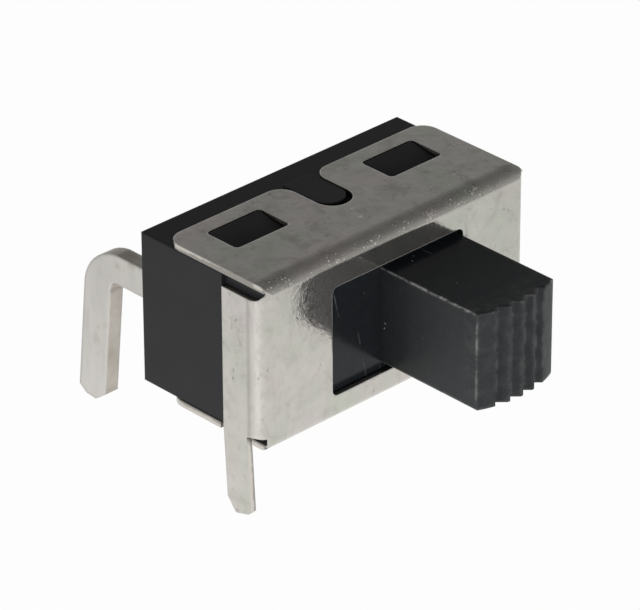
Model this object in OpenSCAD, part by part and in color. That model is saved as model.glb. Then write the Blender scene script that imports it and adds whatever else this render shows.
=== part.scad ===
// Miniature right-angle slide switch for a circuit board.
// A folded steel frame wraps a moulded housing and guides a sliding knob in its front window.
// Three blade terminals leave the rear wall and turn down, and the frame stands on two legs.
// X runs along the switch, the knob points to -Y and Z is up.
// Heights start at the board seat. Depths start at the frame's front face and grow to the rear.

/* [Frame] */
// Length over the two folded ends
frame_len = 10; // [8:0.1:12]
// Height from the board seat to the top face
frame_h = 5.1; // [4.2:0.1:6.5]
// Thickness of the steel sheet
sheet = 0.18; // [0.15:0.01:0.22]
// Outer radius of the bends
bend_r = 0.3; // [0.26:0.01:0.36]
// Depth of the top and bottom flanges
flange_depth = 4.05; // [3.8:0.05:4.5]
// Setback of the flange ends from the outer faces of the folded ends
flange_setback = 0.04; // [0.02:0.01:0.1]
// Radius of the rounded corners along each flange's rear edge
flange_corner_r = 0.55; // [0.3:0.05:0.7]
// Width of the notch in the middle of each flange's rear edge
notch_w = 1.15; // [0.8:0.05:1.5]
// Depth of that notch
notch_depth = 2; // [1.5:0.1:2.2]

/* [Front window] */
// Length of front plate left beside the window at each end
end_strip = 2.48; // [2.2:0.02:2.8]
// Height of front plate left below the window
low_strip = 0.775; // [0.7:0.005:0.9]
// Drop of the window's centre below the middle of the frame
window_drop = 0.07; // [0:0.01:0.1]
// Corner radius of the front window
front_window_r = 0.2; // [0.1:0.01:0.25]

/* [Snap windows] */
// Length of each snap window
snap_len = 2; // [1.5:0.1:2.2]
// Depth of each snap window
snap_depth = 1.25; // [0.9:0.05:1.4]
// Distance of each snap window's centre from the middle of the switch
snap_x = 2.95; // [2.6:0.05:3.1]
// Strip of sheet left behind each snap window
snap_strip = 0.55; // [0.4:0.05:0.8]
// Corner radius of the snap windows
window_r = 0.15; // [0.08:0.01:0.25]
// Clearance between a snap window and the wedge that catches it
snap_gap = 0.05; // [0.03:0.01:0.1]

/* [Folded ends and legs] */
// Depth of each folded end
tab_depth = 1.75; // [1.5:0.05:2.2]
// Drop from the top face to the top edge of a folded end
tab_drop = 0.55; // [0.45:0.05:0.8]
// Radius of the relief that lets a folded end bend clear of the top flange
relief_r = 0.7; // [0.6:0.05:0.8]
// Height of the slit between a folded end and the bottom flange
slit_h = 0.2; // [0.1:0.01:0.3]
// Width of each leg
leg_w = 0.94; // [0.7:0.02:1]
// Reach of each leg below the board seat
leg_drop = 2.57; // [1.8:0.01:3.5]
// Inward lean of each leg at its tip
leg_lean = 0.14; // [0:0.01:0.2]
// Depth of the slanted rear corner on a leg's tip
leg_tip_depth = 0.3; // [0.1:0.01:0.5]
// Height of the slanted rear corner on a leg's tip
leg_tip_h = 0.42; // [0.2:0.02:0.8]
// Rise of a leg's lower edge towards the front
leg_tip_rise = 0.15; // [0:0.01:0.25]
// Size of the blunted front corner on a leg's tip
leg_tip_blunt = 0.12; // [0.05:0.01:0.2]
// Clearance between a leg and the bottom flange
leg_gap = 0.05; // [0.03:0.01:0.1]

/* [Housing] */
// Depth from the frame's front face to the housing's rear face
body_depth = 5.07; // [4.9:0.01:5.6]
// Setback of the housing's end faces from the frame's folded ends
body_setback = 0.06; // [0.03:0.01:0.1]
// Radius of the housing's outer edges
body_r = 0.05; // [0.03:0.01:0.15]
// Thickness of the rear wall that holds the terminals
rear_wall = 1.17; // [0.9:0.01:1.4]
// Fitting gap between the housing, the frame and the terminals
fit_gap = 0.01; // [0.01:0.005:0.02]

/* [Knob and slide] */
// Travel of the knob from one end to the other
travel = 2; // [1.6:0.1:2.1]
// Projection of the knob from the frame's front face
knob_reach = 3.82; // [2:0.02:6]
// Bulge of the knob's front end
knob_bulge = 0.32; // [0.1:0.01:0.5]
// Radius of the knob's long edges
knob_edge_r = 0.06; // [0.03:0.01:0.12]
// Spacing of the grip grooves
groove_pitch = 0.51; // [0.4:0.01:0.6]
// Least plain width left on the knob's front beside the grooves
grip_land = 0.4; // [0.3:0.05:0.6]
// Width of each groove at its mouth
groove_w = 0.4; // [0.2:0.01:0.45]
// Depth of each groove
groove_depth = 0.19; // [0.1:0.01:0.3]
// Gap between the knob and the end of the front window, where it stops
stop_gap = 0.04; // [0.02:0.01:0.06]
// Gap between the knob and the front window above and below it
knob_gap = 0.21; // [0.1:0.01:0.25]
// Thickness of the slide plate behind the front window
plate_t = 0.6; // [0.4:0.05:0.7]
// Cover of the slide plate past the window's top and bottom edges
plate_cover_h = 0.25; // [0.2:0.01:0.26]
// Cover of the slide plate past the window's end at the far stop
plate_cover_len = 0.08; // [0.04:0.01:0.1]
// Running gap around the sliding parts
slide_gap = 0.05; // [0.03:0.01:0.08]

/* [Moving contact] */
// Thickness of the contact spring
clip_t = 0.15; // [0.1:0.01:0.18]
// Gap between the contact's lips and a terminal
clip_gap = 0.03; // [0.02:0.005:0.05]
// How far each leaf spreads from its lip to its root
leaf_spread = 0.15; // [0.1:0.01:0.2]
// How far each lip flares to ride onto a terminal
lip_flare = 0.2; // [0.1:0.01:0.25]
// Width of the slots that part each leaf into fingers
finger_slot = 0.25; // [0.15:0.01:0.35]
// Thickness of the carrier's wall around the contact
carrier_wall = 0.17; // [0.12:0.01:0.25]
// Depth of the carrier's pocket for the contact
pocket_depth = 0.9; // [0.6:0.05:1]

/* [Terminals] */
// Distance from each end of the frame to the middle of an outer terminal
terminal_inset = 1.19; // [1:0.01:1.5]
// Thickness of the terminal blades
blade_t = 0.5; // [0.4:0.01:0.6]
// Height of the terminal's arm
arm_h = 0.93; // [0.8:0.01:1.1]
// Width of the terminal's post
post_w = 1.07; // [0.8:0.01:1.1]
// Reach of the post's rear edge behind the housing
post_reach = 3.46; // [3:0.02:4.5]
// Reach of the posts below the board seat
post_drop = 2.09; // [1.5:0.01:3.5]
// Rearward splay of the posts in degrees
post_splay = 5.7; // [0:0.1:8]
// Outer radius of the terminal's bend
elbow_r = 1.6; // [1.2:0.05:1.7]
// Inner radius of the terminal's bend
elbow_inner_r = 0.35; // [0.15:0.01:0.4]
// Depth of the slanted rear corner on a post's tip
post_tip_rear = 0.3; // [0.1:0.01:0.4]
// Height of the slanted rear corner on a post's tip
post_tip_rear_h = 0.17; // [0.1:0.01:0.4]
// Depth of the slanted front corner on a post's tip
post_tip_front = 0.36; // [0.1:0.01:0.4]
// Height of the slanted front corner on a post's tip
post_tip_front_h = 0.32; // [0.1:0.01:0.5]
// Reach of each blade into the contact chamber
blade_reach = 1.35; // [1.1:0.05:1.5]

/* [Hidden] */
$fn = 48;
eps = 0.01;
over = 1;
frame_half = frame_len / 2;
flange_half = frame_half - flange_setback;
inner_bend_r = bend_r - sheet;
tab_top = frame_h - tab_drop;
relief_front = sheet / 2;
corner_skin = sheet / 2;
leg_front = tab_depth - leg_w;
leg_y = tab_depth - leg_w / 2;
leg_top = sheet + slit_h;

knob_z = frame_h / 2 - window_drop;
rest_x = travel / 2;
front_window_len = frame_len - 2 * end_strip;
front_window_h = 2 * (knob_z - low_strip);
knob_w = front_window_len - travel - 2 * stop_gap;
knob_h = front_window_h - 2 * knob_gap;
groove_count = floor((knob_w - 2 * grip_land - groove_w) / groove_pitch) + 1;
knob_r = (knob_w * knob_w / 4 + knob_bulge * knob_bulge) / (2 * knob_bulge);
plate_len = front_window_len + travel + 2 * plate_cover_len;
plate_h = front_window_h + 2 * plate_cover_h;
plate_front = sheet + slide_gap;
plate_rear = plate_front + plate_t;

pitch = frame_half - terminal_inset;
contact_z = frame_h / 2;
lip_z = arm_h / 2 + clip_gap + clip_t / 2;
leaf_root_z = lip_z + leaf_spread;
lip_end_z = lip_z + lip_flare;
clip_len = 2 * pitch - travel + blade_t;
clip_half_h = leaf_root_z + clip_t / 2;
carrier_len = clip_len + 2 * (fit_gap + carrier_wall);
carrier_h = 2 * (clip_half_h + fit_gap + 2 * carrier_wall);
clip_front = plate_rear + carrier_wall * 2 + fit_gap;
carrier_rear = clip_front + pocket_depth;

rim_y = plate_rear + slide_gap;
body_half = frame_half - body_setback;
body_front_half = frame_half - sheet - fit_gap;
body_front = sheet + fit_gap;
body_low = sheet + fit_gap;
body_high = frame_h - sheet - fit_gap;
step_y = tab_depth + slide_gap;
cavity_rear = body_depth - rear_wall;
cavity_len = carrier_len + travel + 2 * (stop_gap + slide_gap);
cavity_h = carrier_h + 4 * slide_gap;
blade_tip = cavity_rear - blade_reach;
lip_y = (blade_tip + cavity_rear) / 2 - 3 * clip_t;
lip_end_y = lip_y + 2 * lip_flare;

elbow_y = body_depth + post_reach - elbow_r;
elbow_z = contact_z + arm_h / 2 - elbow_r;
under_arm = elbow_r - arm_h;
post_inset = elbow_r - post_w;
post_tip_x = post_inset + post_tip_front;
post_len = (elbow_z + post_drop + post_tip_x * sin(post_splay)) / cos(post_splay);
fillet_z = under_arm - elbow_inner_r;
fillet_y = (post_inset - elbow_inner_r) / cos(post_splay) - fillet_z * tan(post_splay);
fillet_centre = [fillet_y, fillet_z];

// Moves the origin from the frame's front face to the middle of the line between the legs
module in_place() {
    translate([0, -leg_y, 0]) children();
}

// Extrudes a profile drawn in depth and height along the switch, centred on x = 0
module along_x(len) {
    rotate([90, 0, 90]) translate([0, 0, -len / 2]) linear_extrude(len) children();
}

// Extrudes a profile drawn in length and height through the given depths
module along_y(from, to) {
    translate([0, to, 0]) rotate([90, 0, 0]) linear_extrude(to - from) children();
}

module both_ends() {
    children();
    mirror([1, 0, 0]) children();
}

// Draws the same shape at the top and at the bottom of the switch
module top_and_bottom() {
    children();
    translate([0, 0, frame_h]) mirror([0, 0, 1]) children();
}

module rounded_rect(size, r) {
    translate([r, 0]) square([size.x - 2 * r, size.y]);
    translate([0, r]) square([size.x, size.y - 2 * r]);
    for (x = [r, size.x - r], y = [r, size.y - r]) translate([x, y]) circle(r);
}

module centred_rect(size, r) {
    translate([-size.x / 2, -size.y / 2]) rounded_rect(size, r);
}

// Depth and height of the channel's outside, rounded along its two front edges
module channel_side(h, r) {
    translate([r, 0]) square([flange_depth, h]);
    translate([0, r]) square([flange_depth, h - 2 * r]);
    for (z = [r, h - r]) translate([r, z]) circle(r);
}

module channel_section() {
    difference() {
        channel_side(frame_h, bend_r);
        translate([sheet, sheet]) channel_side(frame_h - 2 * sheet, inner_bend_r);
    }
}

// Half of a flange seen from above, from the notch to the folded end
module flange_lobe() {
    r = flange_corner_r;
    w = flange_half - notch_w / 2;
    translate([notch_w / 2, -over]) difference() {
        rounded_rect([w, flange_depth + over], r);
        translate([snap_x - notch_w / 2, over + flange_depth - snap_strip - snap_depth / 2])
            centred_rect([snap_len, snap_depth], window_r);
    }
}

module flange_plan() {
    both_ends() flange_lobe();
    difference() {
        translate([-notch_w / 2 - eps, -over / 2])
            square([notch_w + 2 * eps, flange_depth - notch_depth + notch_w / 2 + over / 2]);
        translate([0, flange_depth - notch_depth + notch_w / 2]) circle(d = notch_w);
    }
}

// Waste outside the round front corner, which follows the bend of a folded end below the flange's skin
module front_corner() {
    difference() {
        translate([frame_half - bend_r, -over]) square([over, over + bend_r]);
        translate([frame_half - bend_r, bend_r]) circle(bend_r);
    }
}

// Front plate with its two flanges, before the ends are folded
module channel() {
    difference() {
        intersection() {
            along_x(frame_len) channel_section();
            linear_extrude(frame_h) flange_plan();
        }
        along_y(-over, 2 * sheet) translate([0, knob_z])
            centred_rect([front_window_len, front_window_h], front_window_r);
        both_ends() {
            translate([0, 0, corner_skin]) linear_extrude(frame_h - 2 * corner_skin) front_corner();
            translate([frame_half - bend_r + eps, -over, bend_r])
                cube([over, over + 2 * sheet, frame_h - 2 * bend_r]);
            translate([frame_half - sheet - leg_lean - leg_gap, leg_front - 3 * leg_gap, -over])
                cube([over, leg_w + 6 * leg_gap, over + 2 * sheet]);
        }
    }
}

// Gap between a folded end and the top flange, seen from the end
module relief_side() {
    intersection() {
        translate([relief_front, tab_top]) square([tab_depth + over, tab_drop - sheet]);
        union() {
            translate([relief_r, tab_top + relief_r]) circle(relief_r);
            translate([relief_r, tab_top]) square([tab_depth, tab_drop]);
        }
    }
}

// Gap between a folded end and the bottom flange, which closes towards the leg
module slit_side() {
    polygon([[relief_front, sheet], [leg_front, sheet], [relief_front, leg_top]]);
}

// Quarter bend and flat of a folded end, seen from above
module fold_plan() {
    translate([frame_half - bend_r, bend_r]) intersection() {
        difference() {
            circle(bend_r);
            circle(inner_bend_r);
        }
        translate([0, -bend_r]) square(bend_r);
    }
    translate([frame_half - sheet, bend_r]) square([sheet, tab_depth - bend_r]);
}

// Side outline of a leg with its slanted tip
module leg_side() {
    front_z = leg_tip_rise - leg_drop;
    polygon([
        [leg_front, leg_top],
        [leg_front, front_z + leg_tip_blunt],
        [leg_front + leg_tip_blunt, front_z],
        [tab_depth - leg_tip_depth, -leg_drop],
        [tab_depth, leg_tip_h - leg_drop],
        [tab_depth, leg_top]
    ]);
}

// Front outline of a leg, which leans in towards its tip
module leg_front_view() {
    tip_x = frame_half - leg_lean;
    polygon([
        [frame_half, leg_top],
        [frame_half, sheet],
        [tip_x, -leg_drop],
        [tip_x - sheet, -leg_drop],
        [frame_half - sheet, sheet],
        [frame_half - sheet, leg_top]
    ]);
}

module folded_end() {
    translate([0, 0, sheet]) linear_extrude(frame_h - bend_r - sheet) fold_plan();
    intersection() {
        along_x(2 * frame_len) leg_side();
        along_y(leg_front - over, tab_depth + over) leg_front_view();
    }
}

// One sheet: front plate, two flanges, two folded ends and their legs
module frame() {
    color("#b4b2ab") in_place() difference() {
        union() {
            channel();
            both_ends() folded_end();
        }
        both_ends() translate([frame_half, 0, 0]) along_x(2 * bend_r) {
            relief_side();
            slit_side();
        }
    }
}

// Housing seen from above, stepped in between the folded ends and rounded to nest in their bends
module body_plan() {
    front_w = 2 * body_front_half;
    translate([-body_front_half, body_front])
        rounded_rect([front_w, step_y - body_front + over], inner_bend_r);
    intersection() {
        translate([-body_half, 0]) rounded_rect([2 * body_half, body_depth], body_r);
        translate([-body_half, step_y]) square([2 * body_half, body_depth]);
    }
}

// Housing seen from the end, rounded in front to nest in the channel's bends
module body_side() {
    h = body_high - body_low;
    intersection() {
        translate([body_front, body_low]) rounded_rect([body_depth, h], inner_bend_r);
        translate([-over, body_low]) rounded_rect([body_depth + over, h], body_r);
    }
}

module body_block() {
    h = body_high - body_low;
    intersection() {
        linear_extrude(frame_h) body_plan();
        along_x(frame_len) body_side();
        along_y(0, 2 * body_depth) translate([0, frame_h / 2]) centred_rect([2 * body_half, h], body_r);
    }
}

// Wedge that ramps up to the rear and catches the flange behind its snap window
module snap_wedge() {
    rear = flange_depth - snap_strip - snap_gap;
    front = flange_depth - snap_strip - snap_depth + snap_gap;
    translate([snap_x, 0, 0]) along_x(snap_len - 2 * snap_gap)
        polygon([[front, body_low + eps], [rear, fit_gap], [rear, body_low + eps]]);
}

// Key that fills the notch in the flange's rear edge and centres the frame
module notch_key() {
    r = notch_w / 2 - snap_gap;
    front = flange_depth - notch_depth + notch_w / 2 + 4 * snap_gap;
    translate([0, 0, 2 * fit_gap]) linear_extrude(sheet) {
        translate([0, front]) circle(r);
        translate([-r, front]) square([2 * r, flange_depth - front]);
    }
}

// Channel for the slide plate, open at both ends behind the folded ends
module plate_channel() {
    h = plate_h + 2 * slide_gap;
    translate([-frame_half, 0, knob_z - h / 2]) cube([frame_len, rim_y, h]);
}

module contact_chamber() {
    translate([-cavity_len / 2, rim_y - eps, contact_z - cavity_h / 2])
        cube([cavity_len, cavity_rear - rim_y + eps, cavity_h]);
}

module terminal_slots() {
    w = blade_t + 2 * fit_gap;
    h = arm_h + 2 * fit_gap;
    for (x = [-pitch, 0, pitch])
        translate([x - w / 2, cavity_rear - eps, contact_z - h / 2]) cube([w, rear_wall + over, h]);
}

module housing() {
    color("#2e2e30") in_place() difference() {
        union() {
            body_block();
            top_and_bottom() {
                both_ends() snap_wedge();
                notch_key();
            }
        }
        plate_channel();
        contact_chamber();
        terminal_slots();
    }
}

// Depth of the knob's bulged front end at a place along its width
function knob_front(x) = knob_r - knob_reach - sqrt(knob_r * knob_r - x * x);

// Knob seen from above, with its bulged and grooved front end
module knob_plan() {
    difference() {
        intersection() {
            translate([-knob_w / 2, -knob_reach]) square([knob_w, knob_reach + plate_rear]);
            union() {
                translate([0, knob_r - knob_reach]) circle(knob_r);
                translate([-knob_w / 2, knob_bulge - knob_reach]) square([knob_w, knob_reach + plate_rear]);
            }
        }
        for (i = [0 : groove_count - 1]) {
            x = (i - (groove_count - 1) / 2) * groove_pitch;
            translate([x, knob_front(x)])
                polygon([[-groove_w, -groove_depth], [groove_w, -groove_depth], [0, groove_depth]]);
        }
    }
}

// Grooved plan within a front outline whose corners are slightly rounded
module knob() {
    intersection() {
        translate([0, 0, knob_z - knob_h / 2]) linear_extrude(knob_h) knob_plan();
        along_y(-2 * knob_reach, plate_rear) translate([0, knob_z])
            centred_rect([knob_w, knob_h], knob_edge_r);
    }
}

// Knob, slide plate and contact carrier, moulded in one piece and shown at the right-hand stop
module actuator() {
    color("#232325") in_place() translate([rest_x, 0, 0]) difference() {
        union() {
            knob();
            translate([-plate_len / 2, plate_front, knob_z - plate_h / 2])
                cube([plate_len, plate_t, plate_h]);
            translate([-carrier_len / 2, plate_rear - eps, contact_z - carrier_h / 2])
                cube([carrier_len, carrier_rear - plate_rear + eps, carrier_h]);
        }
        translate([-clip_len / 2 - fit_gap, clip_front - fit_gap, contact_z - clip_half_h - fit_gap])
            cube([clip_len + 2 * fit_gap, pocket_depth + over, 2 * (clip_half_h + fit_gap)]);
    }
}

// Strip of even thickness through a list of points, with rounded bends
module strip(points, t) {
    for (i = [0 : len(points) - 2]) {
        run = points[i + 1] - points[i];
        translate(points[i]) rotate(atan2(run.y, run.x)) translate([0, -t / 2]) square([norm(run), t]);
    }
    for (p = points) translate(p) circle(d = t);
}

// Spring clip in the carrier, whose two leaves grip the terminals from above and below
module moving_contact() {
    root_y = clip_front + clip_t / 2;
    slot_x = travel / 2 + blade_t / 2 + 2 * slide_gap;
    slot_front = clip_front + 3 * clip_t;
    color("#c8a45a") in_place() translate([rest_x, 0, contact_z]) difference() {
        along_x(clip_len) strip([
            [lip_end_y, lip_end_z],
            [lip_y, lip_z],
            [root_y, leaf_root_z],
            [root_y, -leaf_root_z],
            [lip_y, -lip_z],
            [lip_end_y, -lip_end_z]
        ], clip_t);
        both_ends() translate([slot_x, slot_front, -over])
            cube([finger_slot, lip_end_y, 2 * over]);
    }
}

// Turns a point drawn on an upright post by the splay, about the elbow's centre
function splayed(y, z) = [
    y * cos(post_splay) - z * sin(post_splay),
    y * sin(post_splay) + z * cos(post_splay)
];

// Side outline of a terminal with a square outer corner, drawn from the elbow's centre
module terminal_outline() {
    polygon([
        [blade_tip - elbow_y, elbow_r],
        [elbow_r * tan((90 - post_splay) / 2), elbow_r],
        splayed(elbow_r, post_tip_rear_h - post_len),
        splayed(elbow_r - post_tip_rear, -post_len),
        splayed(post_tip_x, -post_len),
        splayed(post_inset, post_tip_front_h - post_len),
        fillet_centre + splayed(elbow_inner_r, 0),
        fillet_centre,
        fillet_centre + [0, elbow_inner_r],
        [blade_tip - elbow_y, under_arm]
    ]);
}

// Waste outside the elbow's outer round, which is drawn a little over size to cross the straight edges
module elbow_waste() {
    difference() {
        polygon([[0, 0], [0, 2 * elbow_r], [2 * elbow_r, 2 * elbow_r], splayed(2 * elbow_r, 0)]);
        circle(elbow_r + eps);
    }
}

// Blade terminal: arm through the rear wall, rounded elbow and splayed post
module terminal(x) {
    color("#bcb9b2") in_place() translate([x, elbow_y, elbow_z]) along_x(blade_t) difference() {
        terminal_outline();
        elbow_waste();
        translate(fillet_centre) circle(elbow_inner_r + eps);
    }
}

module terminal_left() { terminal(-pitch); }

module terminal_common() { terminal(0); }

module terminal_right() { terminal(pitch); }

housing();
frame();
actuator();
moving_contact();
terminal_left();
terminal_common();
terminal_right();
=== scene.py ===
"""Looks of a miniature slide switch: plated steel frame, black mouldings and tinned terminals.

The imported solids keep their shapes. This script gives them their finishes, tells the frame's
sheared edges apart from its plated skin, and sets up the pale floor, the soft studio light
and the camera of the photograph.
"""
import math

import bmesh
import bpy
from mathutils import Matrix, Vector
from mathutils.bvhtree import BVHTree


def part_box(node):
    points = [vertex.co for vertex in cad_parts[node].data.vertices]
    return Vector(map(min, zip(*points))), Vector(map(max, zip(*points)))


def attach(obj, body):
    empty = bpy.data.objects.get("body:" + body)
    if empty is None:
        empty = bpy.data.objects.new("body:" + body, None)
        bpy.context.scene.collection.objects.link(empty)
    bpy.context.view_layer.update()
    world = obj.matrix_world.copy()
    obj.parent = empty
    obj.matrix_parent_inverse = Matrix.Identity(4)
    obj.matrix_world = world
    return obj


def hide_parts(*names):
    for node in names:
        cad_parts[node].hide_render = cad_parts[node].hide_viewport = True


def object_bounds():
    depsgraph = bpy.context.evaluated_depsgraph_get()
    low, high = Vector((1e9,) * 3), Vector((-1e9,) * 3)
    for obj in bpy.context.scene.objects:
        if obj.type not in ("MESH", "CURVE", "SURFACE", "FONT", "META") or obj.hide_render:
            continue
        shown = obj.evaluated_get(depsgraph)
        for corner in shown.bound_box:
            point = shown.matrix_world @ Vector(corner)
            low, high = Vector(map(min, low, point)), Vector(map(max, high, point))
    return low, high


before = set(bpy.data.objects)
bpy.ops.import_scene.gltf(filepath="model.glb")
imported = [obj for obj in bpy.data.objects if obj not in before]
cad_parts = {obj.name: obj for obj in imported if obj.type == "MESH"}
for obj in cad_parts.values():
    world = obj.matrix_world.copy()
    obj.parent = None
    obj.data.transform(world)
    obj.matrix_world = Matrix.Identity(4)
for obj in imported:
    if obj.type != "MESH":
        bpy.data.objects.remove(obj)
cad_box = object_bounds()

MM = 0.001
PICTURE_W = 640

# Viewing angle, distance and framing of the photograph
CAMERA_AZIMUTH = math.radians(-43.726)
CAMERA_ELEVATION = math.radians(29.430)
CAMERA_ROLL = math.radians(-0.2464)
CAMERA_TARGET = Vector((0, 1.02, 2.3)) * MM
CAMERA_OFFSET = Vector((-0.5686, -0.4661, 137.185)) * MM
FOCAL_PIXELS = 4913.08
SENSOR_MM = 36

# Spacing of a wave texture's crests at scale 1
WAVE_PERIOD = math.pi / 10

# White table, and the pool of light painted on it as a glow, which the metal mirrors
FLOOR_HALF = 400 * MM
FLOOR_WHITE = 0.975
POOL = Vector((-4, -2, 0)) * MM
POOL_FADE = 70 * MM
POOL_STRENGTH = 1.05

# Greys of the studio that the metal mirrors: at the table's level, at heights between, and overhead
WALL_FOOT = "#b4b4b4"
WALL_TONES = ((0.3, "#a3a3a3"), (0.5, "#878787"), (0.64, "#787878"), (0.74, "#6b6b6b"))
CEILING = "#4a4a4a"

# Two like softboxes
SOFTBOX_ELEVATION = math.radians(8)
SOFTBOX_DISTANCE = 250 * MM
SOFTBOX_SIZE = (180 * MM, 60 * MM)
SOFTBOX_WATTS = 0.3

# The frame's sheet: its thickness, its folds' radius, and the band over which their shading eases out
SHEET = 0.18 * MM
BEND = 0.3 * MM
FOLD_EASE = 0.64 * MM
FRAME_LOW, FRAME_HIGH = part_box("frame")

# Gap within which the sheet's points are one, the widest single step of its bends, how far from its face
# a search for the other skin starts and ends, and the lean at which a face no longer runs along the front
MERGE = 0.0005 * MM
BEND_COS = math.cos(math.radians(15))
SEARCH_START = 0.01 * SHEET
SEARCH_END = 1.3 * SHEET
FRONT_LEAN = 0.01

# Bands of the frame's ends that carry a painted highlight just behind their bends, and a dark line beside it
PAINTED_HIGHLIGHT_Y = FRAME_LOW.y + 2 * SHEET
PAINTED_HIGHLIGHT_HALF = 0.3 * MM
DARK_LINE_Y = FRAME_LOW.y + 4 * SHEET
DARK_LINE_HALF = 0.12 * MM

# Worn roundings of the edges
SHEET_EDGE = 0.07 * MM
BLADE_EDGE = 0.15 * MM
MOULD_EDGE = 0.05 * MM
KNOB_EDGE = 0.15 * MM

# The back of the knob's grip, the length over which the grip's wear fades out behind it, and the length in
# front of the frame over which the dulling by fingers fades out
GRIP_Y = -4.6 * MM
GRIP_FADE = 0.5 * MM
FINGER_FADE = 1 * MM

# How far the outlines of pits, painted glints and dust are frayed
STEEL_FRAY = 0.07 * MM
ACETAL_FRAY = 0.1 * MM


def colour(code):
    """Linear RGBA of an sRGB hex code."""
    parts = [int(code[i:i + 2], 16) / 255 for i in (1, 3, 5)]
    return [p / 12.92 if p <= 0.04045 else ((p + 0.055) / 1.055) ** 2.4 for p in parts] + [1]


def per_mm(size):
    """Texture scale, on coordinates in metres, of a pattern with features this many millimetres wide."""
    return 1 / (size * MM)


def add(tree, kind, inputs=None, **settings):
    """Adds one node, with its settings and with values or links for its inputs."""
    made = tree.nodes.new(kind)
    for key, value in settings.items():
        setattr(made, key, value)
    for key, value in (inputs or {}).items():
        if isinstance(value, bpy.types.NodeSocket):
            tree.links.new(value, made.inputs[key])
        else:
            made.inputs[key].default_value = value
    return made


def new_material(name):
    """An empty material and its node tree."""
    made = bpy.data.materials.new(name)
    made.use_nodes = True
    made.node_tree.nodes.clear()
    return made, made.node_tree


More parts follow.
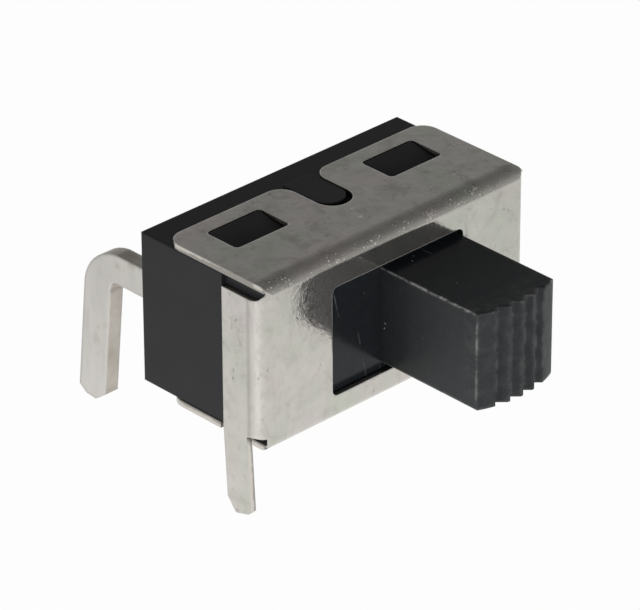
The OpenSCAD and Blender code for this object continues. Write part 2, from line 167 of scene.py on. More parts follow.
def tin_plated_steel():
    """Cold-rolled strip, bright tin plated and folded.

    A soft mirror: cloudy plating with faint warm and green shifts, an orange peel that crinkles the
    edges of reflections, a thin oily haze that lifts the darks, painted glints on the folds, a painted
    highlight on the ends beside their bends with a dark line next to it, pale rims that are partly wear
    and partly painted highlight, rub marks, hairline scratches, dark pits and dust.
    """
    made, tree = new_material("tin_plated_steel_folded")
    place = add(tree, "ShaderNodeTexCoord").outputs["Object"]
    spot = add(tree, "ShaderNodeSeparateXYZ", {"Vector": place})
    face = add(tree, "ShaderNodeNewGeometry")
    cloud = add(tree, "ShaderNodeTexNoise", {
        "Vector": place, "Scale": per_mm(0.5), "Detail": 5.0, "Roughness": 0.62,
    })
    shift = add(tree, "ShaderNodeTexNoise", {"Vector": place, "Scale": per_mm(1.6), "Detail": 3.0})
    peel = add(tree, "ShaderNodeTexNoise", {"Vector": place, "Scale": per_mm(0.035), "Detail": 2.0})
    jagged = add(tree, "ShaderNodeVectorMath", {
        0: peel.outputs["Color"], 1: (STEEL_FRAY,) * 3, 2: place,
    }, operation="MULTIPLY_ADD")

    # Plating colour, from greenish to pinkish grey and cloudy
    warm = add(tree, "ShaderNodeMapRange", {
        "Value": shift.outputs["Fac"], "From Min": 0.35, "From Max": 0.65,
    })
    hue = add(tree, "ShaderNodeMix", {
        "Factor": warm.outputs["Result"], "A": colour("#c7c8bd"), "B": colour("#d2cbc6"),
    }, data_type="RGBA")
    clear = add(tree, "ShaderNodeMapRange", {
        "Value": cloud.outputs["Fac"], "From Min": 0.3, "From Max": 0.7, "To Min": 0.9, "To Max": 1.01,
    })
    plating = add(tree, "ShaderNodeVectorMath", {
        0: hue.outputs["Result"], "Scale": clear.outputs["Result"],
    }, operation="SCALE")

    # A painted highlight on a band of each end, just behind its bend, and a dark line beside it
    behind = add(tree, "ShaderNodeMath", {0: spot.outputs["Y"], 1: PAINTED_HIGHLIGHT_Y}, operation="SUBTRACT")
    away = add(tree, "ShaderNodeMath", {0: behind.outputs["Value"]}, operation="ABSOLUTE")
    band = add(tree, "ShaderNodeMapRange", {
        "Value": away.outputs["Value"], "From Max": PAINTED_HIGHLIGHT_HALF, "To Min": 0.6, "To Max": 0.0,
    }, interpolation_type="SMOOTHSTEP")
    side = add(tree, "ShaderNodeMath", {0: spot.outputs["X"]}, operation="ABSOLUTE")
    at_end = add(tree, "ShaderNodeMapRange", {
        "Value": side.outputs["Value"],
        "From Min": FRAME_HIGH.x - 2 * SHEET, "From Max": FRAME_HIGH.x - SHEET,
    })
    painted_highlight = add(tree, "ShaderNodeMath", {
        0: band.outputs["Result"], 1: at_end.outputs["Result"],
    }, operation="MULTIPLY")
    bright = add(tree, "ShaderNodeMix", {
        "Factor": painted_highlight.outputs["Value"], "A": plating.outputs["Vector"], "B": colour("#f1ede6"),
    }, data_type="RGBA")
    past = add(tree, "ShaderNodeMath", {0: spot.outputs["Y"], 1: DARK_LINE_Y}, operation="SUBTRACT")
    close = add(tree, "ShaderNodeMath", {0: past.outputs["Value"]}, operation="ABSOLUTE")
    line = add(tree, "ShaderNodeMapRange", {
        "Value": close.outputs["Value"], "From Max": DARK_LINE_HALF, "To Min": 0.45, "To Max": 0.0,
    }, interpolation_type="SMOOTHSTEP")
    dark_line_mask = add(tree, "ShaderNodeMath", {
        0: line.outputs["Result"], 1: at_end.outputs["Result"],
    }, operation="MULTIPLY")
    dark_lined = add(tree, "ShaderNodeMix", {
        "Factor": dark_line_mask.outputs["Value"], "A": bright.outputs["Result"], "B": colour("#96928c"),
    }, data_type="RGBA")

    # Faint rub marks, mostly upright, and grime that is thickest on the upper faces
    upright = add(tree, "ShaderNodeMapping", {"Vector": place, "Scale": (1, 1, 0.4)})
    rub = add(tree, "ShaderNodeTexNoise", {
        "Vector": upright.outputs["Vector"], "Scale": per_mm(0.4), "Detail": 6.0, "Roughness": 0.65,
    })
    rubbed = add(tree, "ShaderNodeMapRange", {
        "Value": rub.outputs["Fac"], "From Min": 0.58, "From Max": 0.75, "To Max": 0.3,
    })
    marked = add(tree, "ShaderNodeMix", {
        "Factor": rubbed.outputs["Result"], "A": dark_lined.outputs["Result"], "B": colour("#97938c"),
    }, data_type="RGBA")
    turn = add(tree, "ShaderNodeSeparateXYZ", {"Vector": face.outputs["Normal"]})
    settled = add(tree, "ShaderNodeMapRange", {
        "Value": turn.outputs["Z"], "From Min": 0.3, "From Max": 0.9,
    })
    film = add(tree, "ShaderNodeTexNoise", {
        "Vector": place, "Scale": per_mm(0.6), "Detail": 7.0, "Roughness": 0.7, "Distortion": 0.6,
    })
    grimy = add(tree, "ShaderNodeMapRange", {
        "Value": film.outputs["Fac"], "From Min": 0.5, "From Max": 0.68, "To Max": 0.5,
    })
    depth = add(tree, "ShaderNodeMapRange", {
        "Value": settled.outputs["Result"], "To Min": 0.45, "To Max": 1.0,
    })
    grime = add(tree, "ShaderNodeMath", {
        0: grimy.outputs["Result"], 1: depth.outputs["Result"],
    }, operation="MULTIPLY")
    dirty = add(tree, "ShaderNodeMix", {
        "Factor": grime.outputs["Value"], "A": marked.outputs["Result"], "B": colour("#8b837a"),
    }, data_type="RGBA")

    # Sparse pits, and hairline scratches where the sheet is rubbed
    pit = add(tree, "ShaderNodeTexVoronoi", {"Vector": jagged.outputs["Vector"], "Scale": per_mm(0.45)})
    mouth = add(tree, "ShaderNodeMath", {
        0: pit.outputs["Color"], 1: 0.12, 2: 0.005,
    }, operation="MULTIPLY_ADD")
    pitted = add(tree, "ShaderNodeMapRange", {
        "Value": pit.outputs["Distance"], "From Max": mouth.outputs["Value"], "To Min": 1.0, "To Max": 0.0,
    })
    vein = add(tree, "ShaderNodeTexNoise", {
        "Vector": place, "Scale": per_mm(0.8), "Detail": 3.0, "Distortion": 0.5,
    })
    offset = add(tree, "ShaderNodeMath", {0: vein.outputs["Fac"], 1: 0.5}, operation="SUBTRACT")
    beside = add(tree, "ShaderNodeMath", {0: offset.outputs["Value"]}, operation="ABSOLUTE")
    hairline = add(tree, "ShaderNodeMapRange", {
        "Value": beside.outputs["Value"], "From Max": 0.012, "To Min": 0.5, "To Max": 0.0,
    })
    caught = add(tree, "ShaderNodeMapRange", {
        "Value": rub.outputs["Fac"], "From Min": 0.54, "From Max": 0.64,
    })
    scratch = add(tree, "ShaderNodeMath", {
        0: hairline.outputs["Result"], 1: caught.outputs["Result"],
    }, operation="MULTIPLY")
    flaw = add(tree, "ShaderNodeMath", {
        0: pitted.outputs["Result"], 1: scratch.outputs["Value"],
    }, operation="MAXIMUM")
    worn = add(tree, "ShaderNodeMix", {
        "Factor": flaw.outputs["Value"], "A": dirty.outputs["Result"], "B": colour("#4b4844"),
    }, data_type="RGBA")

    # Dust, painted glints on the stretched folds, and pale rims that are partly wear and partly painted
    # highlight, are pale and not metallic to the eye
    dust = add(tree, "ShaderNodeTexVoronoi", {"Vector": jagged.outputs["Vector"], "Scale": per_mm(0.7)})
    size = add(tree, "ShaderNodeMath", {
        0: dust.outputs["Color"], 1: 0.12, 2: 0.01,
    }, operation="MULTIPLY_ADD")
    fleck = add(tree, "ShaderNodeMapRange", {
        "Value": dust.outputs["Distance"], "From Max": size.outputs["Value"], "To Min": 1.2, "To Max": 0.0,
    })
    speck = add(tree, "ShaderNodeMath", {
        0: fleck.outputs["Result"], 1: settled.outputs["Result"],
    }, operation="MULTIPLY")
    tilt = add(tree, "ShaderNodeMath", {0: turn.outputs["Y"], 1: turn.outputs["Z"]}, operation="MULTIPLY")
    fold = add(tree, "ShaderNodeMath", {0: tilt.outputs["Value"]}, operation="ABSOLUTE")
    # Painted glints: pale spots along the crests of the folds
    glint_cells = add(tree, "ShaderNodeTexVoronoi", {"Vector": jagged.outputs["Vector"], "Scale": per_mm(0.08)})
    rare = add(tree, "ShaderNodeMath", {0: glint_cells.outputs["Color"], 1: 2.0}, operation="POWER")
    thick = add(tree, "ShaderNodeMapRange", {
        "Value": film.outputs["Fac"], "From Min": 0.44, "From Max": 0.6, "To Min": 0.5, "To Max": 3.6,
    })
    crest = add(tree, "ShaderNodeMath", {
        0: fold.outputs["Value"], 1: turn.outputs["Y"],
    }, operation="MULTIPLY")
    ridge = add(tree, "ShaderNodeMath", {0: crest.outputs["Value"]}, operation="ABSOLUTE")
    spread = add(tree, "ShaderNodeMath", {
        0: thick.outputs["Result"], 1: ridge.outputs["Value"],
    }, operation="MULTIPLY")
    reach = add(tree, "ShaderNodeMath", {
        0: rare.outputs["Value"], 1: spread.outputs["Value"],
    }, operation="MULTIPLY")
    painted_glint = add(tree, "ShaderNodeMapRange", {
        "Value": glint_cells.outputs["Distance"], "From Max": reach.outputs["Value"],
        "To Min": 0.9, "To Max": 0.0,
    })
    dust_and_painted_glint = add(tree, "ShaderNodeMath", {
        0: painted_glint.outputs["Result"], 1: speck.outputs["Value"],
    }, operation="MAXIMUM")
    # Pale rims along the skin's edges: partly edge wear, partly a painted highlight
    edge = add(tree, "ShaderNodeBevel", {"Radius": SHEET_EDGE}, samples=6)
    same = add(tree, "ShaderNodeVectorMath", {
        0: edge.outputs["Normal"], 1: face.outputs["Normal"],
    }, operation="DOT_PRODUCT")
    rim_wear_and_highlight = add(tree, "ShaderNodeMapRange", {
        "Value": same.outputs["Value"], "From Min": 0.8, "From Max": 0.99, "To Min": 0.75, "To Max": 0.0,
    })
    endways = add(tree, "ShaderNodeMath", {0: turn.outputs["X"]}, operation="ABSOLUTE")
    rimmed_wear_and_highlight = add(tree, "ShaderNodeMath", {
        0: rim_wear_and_highlight.outputs["Result"], 1: endways.outputs["Value"],
    }, operation="SUBTRACT")
    pale = add(tree, "ShaderNodeMath", {
        0: dust_and_painted_glint.outputs["Value"], 1: rimmed_wear_and_highlight.outputs["Value"],
    }, operation="MAXIMUM")
    finish = add(tree, "ShaderNodeMix", {
        "Factor": pale.outputs["Value"], "A": worn.outputs["Result"], "B": colour("#efece5"),
    }, data_type="RGBA")
    bare = add(tree, "ShaderNodeMapRange", {"Value": pale.outputs["Value"], "To Min": 0.93, "To Max": 0.0})

    # Orange peel in waves, with a fine grain that stretches coarser where the sheet is folded
    stretch = add(tree, "ShaderNodeMapRange", {
        "Value": fold.outputs["Value"], "From Min": 0.02, "From Max": 0.35, "To Min": 1.0, "To Max": 6.0,
    })
    relief = add(tree, "ShaderNodeMath", {
        0: peel.outputs["Fac"], 1: stretch.outputs["Result"],
    }, operation="MULTIPLY")
    wave = add(tree, "ShaderNodeBump", {
        "Height": cloud.outputs["Fac"], "Strength": 0.3, "Distance": 0.03 * MM,
        "Normal": edge.outputs["Normal"],
    })
    grain = add(tree, "ShaderNodeBump", {
        "Height": relief.outputs["Value"], "Strength": 1.0, "Distance": 0.0008 * MM,
        "Normal": wave.outputs["Normal"],
    })

    # The grain makes the mirror uneven, and a film of oil veils it as a rough coat
    rough = add(tree, "ShaderNodeMapRange", {
        "Value": peel.outputs["Fac"], "From Min": 0.42, "From Max": 0.68, "To Min": 0.05, "To Max": 0.21,
    })
    steel = add(tree, "ShaderNodeBsdfPrincipled", {
        "Base Color": finish.outputs["Result"], "Metallic": bare.outputs["Result"],
        "Roughness": rough.outputs["Result"], "Normal": grain.outputs["Normal"],
        "Coat Weight": 1.0, "Coat Roughness": 0.5,
    })
    add(tree, "ShaderNodeOutputMaterial", {"Surface": steel.outputs["BSDF"]})
    return made


def sheared_steel():
    """Sheared edge of the plated strip.

    A bright smeared band on the outer side, a duller, ragged break inside, and brown grime with painted
    shade in the hollows.
    """
    made, tree = new_material("tin_plated_steel_sheared")
    place = add(tree, "ShaderNodeTexCoord").outputs["Object"]
    across = add(tree, "ShaderNodeAttribute", attribute_name="outer")
    ragged = add(tree, "ShaderNodeTexNoise", {"Vector": place, "Scale": per_mm(0.25), "Detail": 5.0})
    uneven = add(tree, "ShaderNodeMapRange", {
        "Value": ragged.outputs["Fac"], "From Min": 0.3, "From Max": 0.7, "To Min": -0.15, "To Max": 0.15,
    })
    height = add(tree, "ShaderNodeMath", {
        0: across.outputs["Fac"], 1: uneven.outputs["Result"],
    }, operation="ADD")
    smear = add(tree, "ShaderNodeMapRange", {
        "Value": height.outputs["Value"], "From Min": 0.2, "From Max": 0.5,
    })
    tint = add(tree, "ShaderNodeMix", {
        "Factor": smear.outputs["Result"], "A": colour("#a19c95"), "B": colour("#d2cec6"),
    }, data_type="RGBA")
    # Brown grime and painted shade in the hollows, darkest where the surroundings close in
    hollow_shade = add(tree, "ShaderNodeAmbientOcclusion", {"Distance": 2 * SHEET}, samples=8)
    caked_grime_and_shade = add(tree, "ShaderNodeMapRange", {
        "Value": hollow_shade.outputs["AO"], "From Min": 0.45, "From Max": 0.85, "To Min": 0.85, "To Max": 0.0,
    })
    grimy = add(tree, "ShaderNodeMix", {
        "Factor": caked_grime_and_shade.outputs["Result"], "A": tint.outputs["Result"], "B": colour("#43382e"),
    }, data_type="RGBA")
    edge = add(tree, "ShaderNodeBevel", {"Radius": SHEET_EDGE / 2}, samples=4)
    torn = add(tree, "ShaderNodeBump", {
        "Height": ragged.outputs["Fac"], "Strength": 0.3, "Distance": 0.02 * MM,
        "Normal": edge.outputs["Normal"],
    })
    steel = add(tree, "ShaderNodeBsdfPrincipled", {
        "Base Color": grimy.outputs["Result"], "Metallic": 0.9, "Roughness": 0.25,
        "Normal": torn.outputs["Normal"],
    })
    add(tree, "ShaderNodeOutputMaterial", {"Surface": steel.outputs["BSDF"]})
    return made


def tinned_brass():
    """Blanked brass strip, thinly tinned.

    The broad faces are paler and duller than the frame, with soft upright streaks. On the blanked edges
    the tin is thin, mottled and browner. The corners are pale, partly rubbed and partly painted highlight.
    Painted shade, tinted like the stains, darkens the inside of the elbow and the blade's root at the
    housing, and a few more stains and pits show.
    """
    made, tree = new_material("tinned_brass_blanked")
    place = add(tree, "ShaderNodeTexCoord").outputs["Object"]
    face = add(tree, "ShaderNodeNewGeometry")
    cloud = add(tree, "ShaderNodeTexNoise", {"Vector": place, "Scale": per_mm(0.7), "Detail": 4.0})
    down = add(tree, "ShaderNodeMapping", {"Vector": place, "Scale": (1, 1, 0.2)})
    streak = add(tree, "ShaderNodeTexNoise", {
        "Vector": down.outputs["Vector"], "Scale": per_mm(0.3), "Detail": 3.0,
    })
    level = add(tree, "ShaderNodeMapRange", {
        "Value": streak.outputs["Fac"], "From Min": 0.3, "From Max": 0.7,
    })
    tin = add(tree, "ShaderNodeMix", {
        "Factor": level.outputs["Result"], "A": colour("#cdcac4"), "B": colour("#d8d5cf"),
    }, data_type="RGBA")
    turn = add(tree, "ShaderNodeSeparateXYZ", {"Vector": face.outputs["Normal"]})
    broad = add(tree, "ShaderNodeMath", {0: turn.outputs["X"]}, operation="ABSOLUTE")
    blanked = add(tree, "ShaderNodeMapRange", {
        "Value": broad.outputs["Value"], "From Min": 0.3, "From Max": 0.7, "To Min": 0.75, "To Max": 0.0,
    })
    mottle = add(tree, "ShaderNodeMapRange", {
        "Value": cloud.outputs["Fac"], "From Min": 0.35, "From Max": 0.65,
    })
    brass = add(tree, "ShaderNodeMix", {
        "Factor": mottle.outputs["Result"], "A": colour("#a59b8f"), "B": colour("#c3bcb2"),
    }, data_type="RGBA")
    thin = add(tree, "ShaderNodeMix", {
        "Factor": blanked.outputs["Result"], "A": tin.outputs["Result"], "B": brass.outputs["Result"],
    }, data_type="RGBA")

    # Stains and pits, and painted shade, tinted like stains, in the hollows of the elbow and at the housing
    stain = add(tree, "ShaderNodeTexNoise", {
        "Vector": place, "W": 2.0, "Scale": per_mm(0.8), "Detail": 5.0,
    }, noise_dimensions="4D")
    brown = add(tree, "ShaderNodeMapRange", {
        "Value": stain.outputs["Fac"], "From Min": 0.58, "From Max": 0.72, "To Max": 0.4,
    })
    hollow_shade = add(tree, "ShaderNodeAmbientOcclusion", {"Distance": 3 * BLADE_EDGE}, samples=8)
    caught = add(tree, "ShaderNodeMapRange", {
        "Value": hollow_shade.outputs["AO"], "From Min": 0.5, "From Max": 0.95, "To Min": 0.7, "To Max": 0.0,
    })
    stain_and_painted_shade = add(tree, "ShaderNodeMath", {
        0: brown.outputs["Result"], 1: caught.outputs["Result"],
    }, operation="MAXIMUM")
    stained_and_shaded = add(tree, "ShaderNodeMix", {
        "Factor": stain_and_painted_shade.outputs["Value"], "A": thin.outputs["Result"], "B": colour("#97877a"),
    }, data_type="RGBA")
    pit = add(tree, "ShaderNodeTexNoise", {
        "Vector": place, "Scale": per_mm(0.25), "Detail": 4.0, "Roughness": 0.7,
    })
    pitted = add(tree, "ShaderNodeMapRange", {
        "Value": pit.outputs["Fac"], "From Min": 0.69, "From Max": 0.75, "To Max": 0.6,
    })
    worn = add(tree, "ShaderNodeMix", {
        "Factor": pitted.outputs["Result"], "A": stained_and_shaded.outputs["Result"], "B": colour("#5a534c"),
    }, data_type="RGBA")

    # Pale corners, partly rubbed and partly a painted highlight, found where a rounded normal departs
    # from the face's own
    edge = add(tree, "ShaderNodeBevel", {"Radius": BLADE_EDGE}, samples=6)
    same = add(tree, "ShaderNodeVectorMath", {
        0: edge.outputs["Normal"], 1: face.outputs["Normal"],
    }, operation="DOT_PRODUCT")
    rubbed = add(tree, "ShaderNodeMapRange", {
        "Value": same.outputs["Value"], "From Min": 0.8, "From Max": 0.99, "To Min": 0.85, "To Max": 0.0,
    })
    finish = add(tree, "ShaderNodeMix", {
        "Factor": rubbed.outputs["Result"], "A": worn.outputs["Result"], "B": colour("#e9e6e0"),
    }, data_type="RGBA")
    skin = add(tree, "ShaderNodeBump", {
        "Height": cloud.outputs["Fac"], "Strength": 0.3, "Distance": 0.03 * MM,
        "Normal": edge.outputs["Normal"],
    })
    metal = add(tree, "ShaderNodeBsdfPrincipled", {
        "Base Color": finish.outputs["Result"], "Metallic": 0.9, "Roughness": 0.32,
        "Normal": skin.outputs["Normal"],
    })
    add(tree, "ShaderNodeOutputMaterial", {"Surface": metal.outputs["BSDF"]})
    return made


def moulded_nylon():
    """Black glass-filled nylon, as moulded: a flat satin skin with a fine grain and slightly rounded edges."""
    made, tree = new_material("black_nylon_moulded")
    place = add(tree, "ShaderNodeTexCoord").outputs["Object"]
    grain = add(tree, "ShaderNodeTexNoise", {"Vector": place, "Scale": per_mm(0.1), "Detail": 3.0})
    cloud = add(tree, "ShaderNodeTexNoise", {"Vector": place, "Scale": per_mm(1.1), "Detail": 3.0})
    tint = add(tree, "ShaderNodeMix", {
        "Factor": cloud.outputs["Fac"], "A": colour("#202022"), "B": colour("#2a2a2c"),
    }, data_type="RGBA")
    edge = add(tree, "ShaderNodeBevel", {"Radius": MOULD_EDGE}, samples=4)
    skin = add(tree, "ShaderNodeBump", {
        "Height": grain.outputs["Fac"], "Strength": 0.3, "Distance": 0.01 * MM,
        "Normal": edge.outputs["Normal"],
    })
    nylon = add(tree, "ShaderNodeBsdfPrincipled", {
        "Base Color": tint.outputs["Result"], "Roughness": 0.48, "IOR": 1.53, "Specular IOR Level": 0.2,
        "Normal": skin.outputs["Normal"],
    })
    add(tree, "ShaderNodeOutputMaterial", {"Surface": nylon.outputs["BSDF"]})
    return made


def moulded_acetal():
    """Black acetal, moulded smooth.

    Deep bluish black: the slide plate behind the window stays glossy, with a few hairline scratches. The
    knob in front of the frame is dull from fingers, with painted shade on its top and painted light on its
    sides, chafed and bloomed grey on its grip, and pale along its outer edges with scuffs and a painted
    highlight. Flecks of dust lie on both.
    """
    made, tree = new_material("black_acetal_moulded")
    front_y = FRAME_LOW.y
    sides = [v.co.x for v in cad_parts["actuator"].data.vertices if v.co.y < front_y]
    knob_x, knob_half = (min(sides) + max(sides)) / 2, (max(sides) - min(sides)) / 2
    place = add(tree, "ShaderNodeTexCoord").outputs["Object"]
    face = add(tree, "ShaderNodeNewGeometry")
    depth = add(tree, "ShaderNodeSeparateXYZ", {"Vector": place})
    handled = add(tree, "ShaderNodeMapRange", {
        "Value": depth.outputs["Y"], "From Min": front_y - FINGER_FADE, "From Max": front_y,
        "To Min": 1.0, "To Max": 0.0,
    })
    grain = add(tree, "ShaderNodeTexNoise", {"Vector": place, "Scale": per_mm(0.2), "Detail": 3.0})
    chafe = add(tree, "ShaderNodeTexNoise", {
        "Vector": place, "Scale": per_mm(0.35), "Detail": 6.0, "Roughness": 0.65,
    })
    fresh = add(tree, "ShaderNodeMix", {
        "Factor": grain.outputs["Fac"], "A": colour("#1b1e21"), "B": colour("#25282b"),
    }, data_type="RGBA")
    greyed = add(tree, "ShaderNodeMix", {
        "Factor": grain.outputs["Fac"], "A": colour("#2c2e30"), "B": colour("#37393a"),
    }, data_type="RGBA")

    # Fingers dull the knob in front of the frame; painted shade keeps its top darker, and painted light
    # makes its sides paler right back to the frame
    turn = add(tree, "ShaderNodeSeparateXYZ", {"Vector": face.outputs["True Normal"]})
    top_painted_darker = add(tree, "ShaderNodeMapRange", {"Value": turn.outputs["Z"], "To Min": 1.0, "To Max": 0.1})
    front_wear_and_top_shade = add(tree, "ShaderNodeMath", {
        0: handled.outputs["Result"], 1: top_painted_darker.outputs["Result"],
    }, operation="MULTIPLY")
    sideways = add(tree, "ShaderNodeMath", {0: turn.outputs["X"]}, operation="ABSOLUTE")
    painted_side_light = add(tree, "ShaderNodeMath", {0: sideways.outputs["Value"], 1: 0.75}, operation="MULTIPLY")
    wear_and_painted_light = add(tree, "ShaderNodeMath", {
        0: front_wear_and_top_shade.outputs["Value"], 1: painted_side_light.outputs["Value"],
    }, operation="MAXIMUM")
    tint = add(tree, "ShaderNodeMix", {
        "Factor": wear_and_painted_light.outputs["Value"], "A": fresh.outputs["Result"], "B": greyed.outputs["Result"],
    }, data_type="RGBA")

    # Pale edges, partly scuffs and partly a painted highlight: on the rounded long edges, and on others
    # where a rounded normal departs from the face's own
    reach = add(tree, "ShaderNodeMath", {0: handled.outputs["Result"], 1: KNOB_EDGE}, operation="MULTIPLY")
    edge = add(tree, "ShaderNodeBevel", {"Radius": reach.outputs["Value"]}, samples=6)
    same = add(tree, "ShaderNodeVectorMath", {
        0: edge.outputs["Normal"], 1: face.outputs["True Normal"],
    }, operation="DOT_PRODUCT")
    sharp = add(tree, "ShaderNodeMapRange", {
        "Value": same.outputs["Value"], "From Min": 0.85, "From Max": 0.99, "To Min": 1.0, "To Max": 0.0,
    })
    lean = add(tree, "ShaderNodeMath", {0: turn.outputs["X"], 1: turn.outputs["Z"]}, operation="MULTIPLY")
    slope = add(tree, "ShaderNodeMath", {0: lean.outputs["Value"]}, operation="ABSOLUTE")
    rounded = add(tree, "ShaderNodeMapRange", {
        "Value": slope.outputs["Value"], "From Min": 0.1, "From Max": 0.4,
    })
    corner = add(tree, "ShaderNodeMath", {
        0: sharp.outputs["Result"], 1: rounded.outputs["Result"],
    }, operation="MAXIMUM")
    broken = add(tree, "ShaderNodeMapRange", {
        "Value": chafe.outputs["Fac"], "From Min": 0.42, "From Max": 0.62, "To Min": 0.15,
    })
    middle = add(tree, "ShaderNodeMath", {0: depth.outputs["X"], 1: knob_x}, operation="SUBTRACT")
    aside = add(tree, "ShaderNodeMath", {0: middle.outputs["Value"]}, operation="ABSOLUTE")
    exposed = add(tree, "ShaderNodeMapRange", {
        "Value": aside.outputs["Value"], "To Min": 0.3, "To Max": 1.0,
        "From Min": knob_half - 2 * KNOB_EDGE, "From Max": knob_half - KNOB_EDGE,
    })
    rubbed = add(tree, "ShaderNodeMath", {
        0: broken.outputs["Result"], 1: exposed.outputs["Result"],
    }, operation="MULTIPLY")
    scuff_and_highlight = add(tree, "ShaderNodeMath", {
        0: corner.outputs["Value"], 1: rubbed.outputs["Value"],
    }, operation="MULTIPLY")

    # Grey bloom on the grip, under the pale edges
    gripped = add(tree, "ShaderNodeMapRange", {
        "Value": depth.outputs["Y"], "From Min": GRIP_Y, "From Max": GRIP_Y + GRIP_FADE,
        "To Min": 1.0, "To Max": 0.1,
    })
    bloom = add(tree, "ShaderNodeMapRange", {
        "Value": chafe.outputs["Fac"], "From Min": 0.45, "From Max": 0.7, "To Max": 0.5,
    })
    bloomed = add(tree, "ShaderNodeMath", {
        0: bloom.outputs["Result"], 1: gripped.outputs["Result"],
    }, operation="MULTIPLY")
    hazy = add(tree, "ShaderNodeMix", {
        "Factor": bloomed.outputs["Value"], "A": tint.outputs["Result"], "B": colour("#4c4d4e"),
    }, data_type="RGBA")
    scuffed_and_highlit = add(tree, "ShaderNodeMix", {
        "Factor": scuff_and_highlight.outputs["Value"], "A": hazy.outputs["Result"], "B": colour("#a2a19f"),
    }, data_type="RGBA")

    # Slanting hairline scratches on the slide plate, which are parts of a wave's crests, and dust
    slant = add(tree, "ShaderNodeMapping", {"Vector": place, "Rotation": (0, 0.22, 0)})
    crest = add(tree, "ShaderNodeTexWave", {
        "Vector": slant.outputs["Vector"], "Scale": per_mm(0.55) * WAVE_PERIOD,
        "Distortion": 2.0, "Detail": 1.0, "Detail Scale": 0.3,
    })
    hairline = add(tree, "ShaderNodeMapRange", {
        "Value": crest.outputs["Fac"], "From Min": 0.97, "From Max": 0.995, "To Max": 0.5,
    })
    stretch = add(tree, "ShaderNodeTexNoise", {"Vector": place, "Scale": per_mm(0.8), "Detail": 2.0})
    caught = add(tree, "ShaderNodeMapRange", {
        "Value": stretch.outputs["Fac"], "From Min": 0.55, "From Max": 0.65,
    })
    kept = add(tree, "ShaderNodeMath", {
        0: caught.outputs["Result"], 1: handled.outputs["Result"],
    }, operation="SUBTRACT")
    scratch = add(tree, "ShaderNodeMath", {
        0: hairline.outputs["Result"], 1: kept.outputs["Value"],
    }, operation="MULTIPLY")
    scratched = add(tree, "ShaderNodeMix", {
        "Factor": scratch.outputs["Value"], "A": scuffed_and_highlit.outputs["Result"], "B": colour("#6f7073"),
    }, data_type="RGBA")
    jagged = add(tree, "ShaderNodeVectorMath", {
        0: grain.outputs["Color"], 1: (ACETAL_FRAY,) * 3, 2: place,
    }, operation="MULTIPLY_ADD")
    dust = add(tree, "ShaderNodeTexVoronoi", {"Vector": jagged.outputs["Vector"], "Scale": per_mm(0.55)})
    size = add(tree, "ShaderNodeMath", {
        0: dust.outputs["Color"], 1: 0.09, 2: 0.005,
    }, operation="MULTIPLY_ADD")
    speck = add(tree, "ShaderNodeMapRange", {
        "Value": dust.outputs["Distance"], "From Max": size.outputs["Value"], "To Min": 1.2, "To Max": 0.0,
    })
    dusty = add(tree, "ShaderNodeMix", {
        "Factor": speck.outputs["Result"], "A": scratched.outputs["Result"], "B": colour("#c9c8c5"),
    }, data_type="RGBA")

    # Glossy slide plate, and a duller knob with a chafed grip
    rough = add(tree, "ShaderNodeMapRange", {
        "Value": handled.outputs["Result"], "To Min": 0.2, "To Max": 0.42,
    })
    chafed = add(tree, "ShaderNodeMath", {
        0: chafe.outputs["Fac"], 1: gripped.outputs["Result"],
    }, operation="MULTIPLY")
    skin = add(tree, "ShaderNodeBump", {
        "Height": chafed.outputs["Value"], "Strength": 0.6, "Distance": 0.06 * MM,
        "Normal": edge.outputs["Normal"],
    })
    acetal = add(tree, "ShaderNodeBsdfPrincipled", {
        "Base Color": dusty.outputs["Result"], "Roughness": rough.outputs["Result"], "IOR": 1.48,
        "Specular IOR Level": 0.22, "Normal": skin.outputs["Normal"],
    })
    add(tree, "ShaderNodeOutputMaterial", {"Surface": acetal.outputs["BSDF"]})
    return made


def spring_bronze():
    """Rolled phosphor bronze strip: a warm reddish gold with fine rolling lines along the switch."""
    made, tree = new_material("phosphor_bronze_rolled")
    place = add(tree, "ShaderNodeTexCoord").outputs["Object"]
    along = add(tree, "ShaderNodeMapping", {"Vector": place, "Scale": (0.05, 1, 1)})
    lines = add(tree, "ShaderNodeTexNoise", {"Vector": along.outputs["Vector"], "Scale": per_mm(0.06)})
    tint = add(tree, "ShaderNodeMix", {
        "Factor": lines.outputs["Fac"], "A": colour("#b98a55"), "B": colour("#d3a86c"),
    }, data_type="RGBA")
    bronze = add(tree, "ShaderNodeBsdfPrincipled", {
        "Base Color": tint.outputs["Result"], "Metallic": 1.0, "Roughness": 0.3,
    })
    add(tree, "ShaderNodeOutputMaterial", {"Surface": bronze.outputs["BSDF"]})
    return made


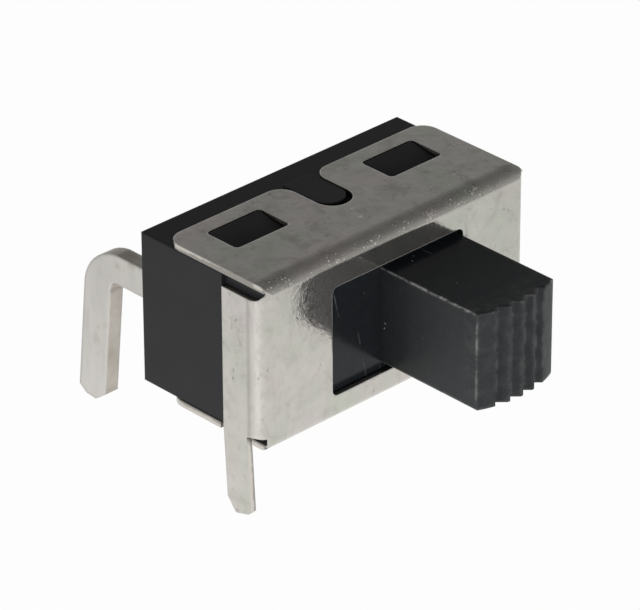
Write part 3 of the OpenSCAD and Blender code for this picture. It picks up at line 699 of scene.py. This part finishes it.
def white_table():
    """Matt white laminate: white to the camera, a painted pool of light in the metal, and a faint shadow."""
    made, tree = new_material("white_laminate_table")
    path = add(tree, "ShaderNodeLightPath")
    seen = add(tree, "ShaderNodeMath", {
        0: path.outputs["Is Camera Ray"], 1: path.outputs["Is Glossy Ray"],
    }, operation="MAXIMUM")
    shown = add(tree, "ShaderNodeMath", {
        0: seen.outputs["Value"], 1: path.outputs["Is Transmission Ray"],
    }, operation="MAXIMUM")
    share = add(tree, "ShaderNodeMath", {0: shown.outputs["Value"], 1: FLOOR_WHITE}, operation="MULTIPLY")

    # In the metal the white fades away from a painted pool of light, a glow in front of the left-hand end
    place = add(tree, "ShaderNodeTexCoord").outputs["Object"]
    apart = add(tree, "ShaderNodeVectorMath", {0: place, 1: POOL}, operation="DISTANCE")
    spread = add(tree, "ShaderNodeMath", {0: apart.outputs["Value"], 1: POOL_FADE}, operation="DIVIDE")
    thin = add(tree, "ShaderNodeMath", {0: spread.outputs["Value"], 1: 1.0}, operation="ADD")
    fade = add(tree, "ShaderNodeMath", {0: POOL_STRENGTH, 1: thin.outputs["Value"]}, operation="DIVIDE")
    strength = add(tree, "ShaderNodeMapRange", {
        "Value": path.outputs["Is Camera Ray"], "To Min": fade.outputs["Value"], "To Max": 1.0,
    })
    matt = add(tree, "ShaderNodeBsdfDiffuse", {"Color": colour("#f4f4f3")})
    white = add(tree, "ShaderNodeEmission", {
        "Color": colour("#ffffff"), "Strength": strength.outputs["Result"],
    })
    both = add(tree, "ShaderNodeMixShader", {
        0: share.outputs["Value"], 1: matt.outputs["BSDF"], 2: white.outputs["Emission"],
    })
    add(tree, "ShaderNodeOutputMaterial", {"Surface": both.outputs["Shader"]})
    return made


def eased_normal(point):
    """Shading normal of the outer skin, where a flange eases into its long fold over more than the bend."""
    inner_y = max(point.y, FRAME_LOW.y + FOLD_EASE)
    inner_z = min(max(point.z, BEND), FRAME_HIGH.z - BEND)
    return Vector((0, (point.y - inner_y) / FOLD_EASE, (point.z - inner_z) / BEND)).normalized()


def round_normal(corner):
    """Shading normal at a face's corner, from the faces round it within one step of a bend."""
    near = [f for f in corner.vert.link_faces if f.normal.dot(corner.face.normal) > BEND_COS]
    return sum((f.normal * f.calc_area() for f in near), Vector()).normalized()


def sheet_frame():
    """The frame's solid with its sheared edges told apart from its skin.

    A skin face has the sheet's other skin one thickness behind it, and any other face is sheared. The
    attribute outer runs across a sheared face from 0 on the inner skin to 1 on the outer skin.
    """
    solid = bmesh.new()
    solid.from_mesh(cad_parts["frame"].data)
    bmesh.ops.remove_doubles(solid, verts=solid.verts, dist=MERGE)
    middle = (FRAME_LOW + FRAME_HIGH) / 2

    # A cut along the line where the flanges start to ease into their folds
    everything = solid.verts[:] + solid.edges[:] + solid.faces[:]
    bmesh.ops.bisect_plane(solid, geom=everything, dist=MERGE,
                           plane_co=(0, FRAME_LOW.y + FOLD_EASE, 0), plane_no=(0, 1, 0))
    bmesh.ops.triangulate(solid, faces=solid.faces[:])
    solid.normal_update()
    tree = BVHTree.FromBMesh(solid)
    outer = solid.verts.layers.float.new("outer")
    for face in solid.faces:
        centre, normal = face.calc_center_median(), face.normal
        depth = tree.ray_cast(centre - normal * SEARCH_START, -normal)[3]
        sheared = depth is None or depth > SEARCH_END
        face.material_index = int(sheared)
        face.smooth = True
        if not sheared and normal.dot(centre - middle) > 0:
            for vert in face.verts:
                vert[outer] = 1

    # The long folds ease into the flanges, and the other bends are plain rounds
    normals = []
    for face in solid.faces:
        along_front = face.material_index == 0 and abs(face.normal.x) < FRONT_LEAN
        for corner in face.loops:
            if along_front and corner.vert[outer]:
                normals.append(eased_normal(corner.vert.co))
            else:
                normals.append(round_normal(corner))
    mesh = bpy.data.meshes.new("frame_sheet")
    solid.to_mesh(mesh)
    solid.free()
    mesh.normals_split_custom_set(normals)
    mesh.materials.append(tin_plated_steel())
    mesh.materials.append(sheared_steel())
    sheet = bpy.data.objects.new("frame_sheet", mesh)
    bpy.context.scene.collection.objects.link(sheet)
    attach(sheet, "base")
    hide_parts("frame")


def lay_floor(lowest):
    """The table's top, at the height of the lowest point."""
    h = FLOOR_HALF
    mesh = bpy.data.meshes.new("floor")
    corners = [(-h, -h, lowest), (h, -h, lowest), (h, h, lowest), (-h, h, lowest)]
    mesh.from_pydata(corners, [], [(0, 1, 2, 3)])
    mesh.materials.append(white_table())
    floor = bpy.data.objects.new("floor", mesh)
    bpy.context.scene.collection.objects.link(floor)


def set_world():
    """A dim studio above a white table: white to the camera, and darker with height in reflections."""
    world = bpy.data.worlds.new("studio")
    bpy.context.scene.world = world
    world.use_nodes = True
    tree = world.node_tree
    tree.nodes.clear()
    way = add(tree, "ShaderNodeTexCoord").outputs["Generated"]
    rise = add(tree, "ShaderNodeSeparateXYZ", {"Vector": way})
    shade = add(tree, "ShaderNodeValToRGB", {"Fac": rise.outputs["Z"]})
    walls = shade.color_ramp.elements
    walls[0].color = colour(WALL_FOOT)
    walls[1].color = colour(CEILING)
    for height, code in WALL_TONES:
        walls.new(height).color = colour(code)
    path = add(tree, "ShaderNodeLightPath")
    tone = add(tree, "ShaderNodeMix", {
        "Factor": path.outputs["Is Camera Ray"], "A": shade.outputs["Color"], "B": colour("#ffffff"),
    }, data_type="RGBA")
    back = add(tree, "ShaderNodeBackground", {"Color": tone.outputs["Result"], "Strength": 1.0})
    add(tree, "ShaderNodeOutputWorld", {"Surface": back.outputs["Background"]})


def towards(azimuth, elevation):
    """Unit vector to a compass angle, counted from the switch's front, and a height above the table."""
    level = math.cos(elevation)
    return Vector((math.sin(azimuth) * level, -math.cos(azimuth) * level, math.sin(elevation)))


def hang_softbox(name, azimuth):
    """A softbox that faces the switch from a compass angle, kept out of the metal's mirror images."""
    out = towards(azimuth, SOFTBOX_ELEVATION)
    lamp = bpy.data.lights.new(name, "AREA")
    lamp.shape = "RECTANGLE"
    lamp.size, lamp.size_y = SOFTBOX_SIZE
    lamp.energy = SOFTBOX_WATTS
    box = bpy.data.objects.new(name, lamp)
    box.location = CAMERA_TARGET + out * SOFTBOX_DISTANCE
    box.rotation_euler = out.to_track_quat("Z", "Y").to_euler()
    box.visible_glossy = False
    bpy.context.scene.collection.objects.link(box)


def set_camera():
    """The photograph's camera, which looks at the target from its angle and is then rolled and shifted."""
    back = towards(CAMERA_AZIMUTH, CAMERA_ELEVATION)
    right = Vector((math.cos(CAMERA_AZIMUTH), math.sin(CAMERA_AZIMUTH), 0))
    up = back.cross(right)
    x = right * math.cos(CAMERA_ROLL) + up * math.sin(CAMERA_ROLL)
    y = up * math.cos(CAMERA_ROLL) - right * math.sin(CAMERA_ROLL)
    turn = Matrix((x, y, back)).transposed()
    lens = bpy.data.cameras.new("camera")
    lens.sensor_fit = "HORIZONTAL"
    lens.sensor_width = SENSOR_MM
    lens.lens = SENSOR_MM * FOCAL_PIXELS / PICTURE_W
    lens.clip_start = 1 * MM
    camera = bpy.data.objects.new("camera", lens)
    camera.matrix_world = Matrix.Translation(CAMERA_TARGET + turn @ CAMERA_OFFSET) @ turn.to_4x4()
    bpy.context.scene.collection.objects.link(camera)
    bpy.context.scene.camera = camera


tinned = tinned_brass()
FINISHES = {
    "housing": moulded_nylon(),
    "actuator": moulded_acetal(),
    "moving_contact": spring_bronze(),
    "terminal_left": tinned,
    "terminal_common": tinned,
    "terminal_right": tinned,
}
for node, finish in FINISHES.items():
    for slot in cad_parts[node].material_slots:
        slot.material = finish
sheet_frame()

lay_floor(cad_box[0][2])
set_world()
hang_softbox("softbox_left", math.radians(-100))
hang_softbox("softbox_front", math.radians(-15))
set_camera()
bpy.context.scene.view_settings.view_transform = "Standard"
